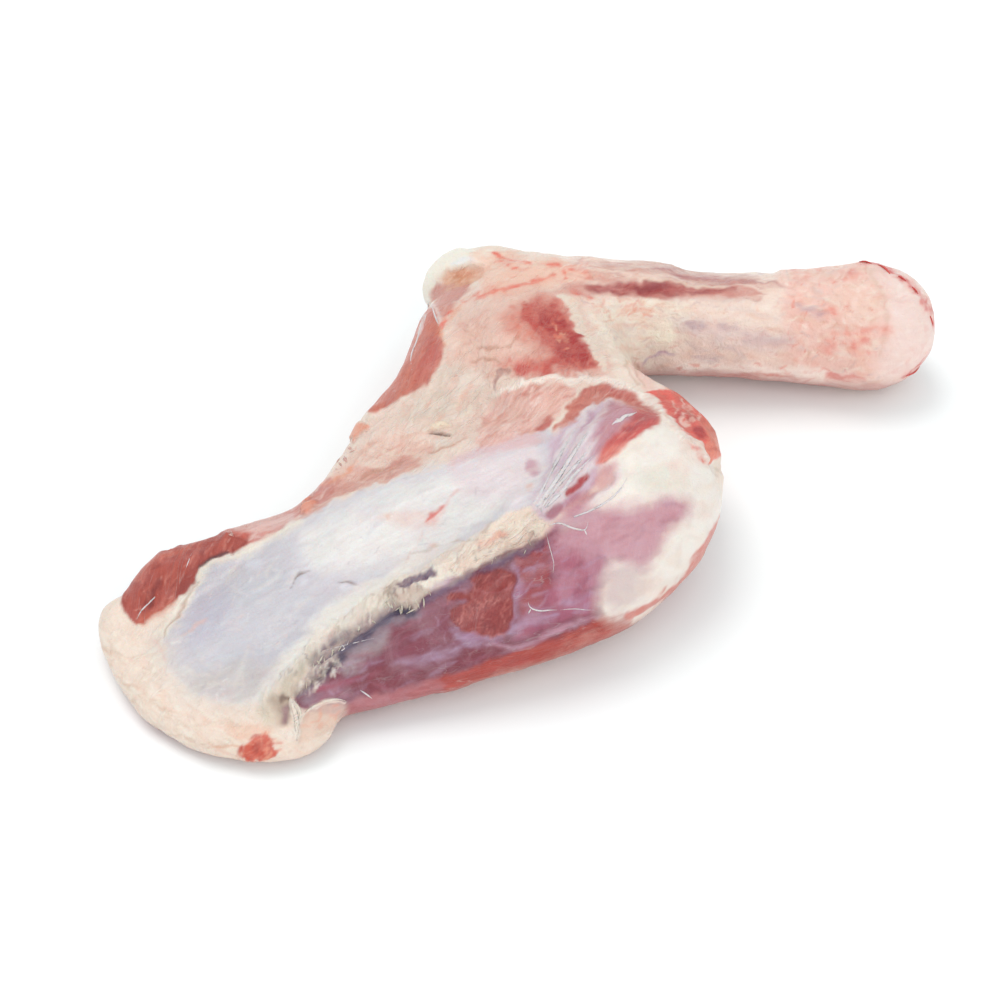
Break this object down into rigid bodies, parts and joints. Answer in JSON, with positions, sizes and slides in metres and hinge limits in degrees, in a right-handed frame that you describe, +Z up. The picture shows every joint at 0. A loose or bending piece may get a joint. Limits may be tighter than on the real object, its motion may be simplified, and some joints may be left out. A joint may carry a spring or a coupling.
{
  "type": "raw veal shoulder",
  "caption": "Whole raw veal shoulder with its shank, lying on its inner side: silver skin over the blade, round shoulder point, bent elbow, thick shank.",
  "frame": {"origin": "on the table, under the middle of the part's box", "axes": "+X along the shank from the elbow to the knee, +Y from the breast side to the elbow side, +Z up from the table"},
  "size_m": [0.5588, 0.4218, 0.1115],
  "materials": {
    "meat": "moist raw meat: pale fat and silver skin over pink to dark red muscle"
  },
  "bodies": {
    "root": {"veal_shoulder": "meat"}
  },
  "joints": []
}
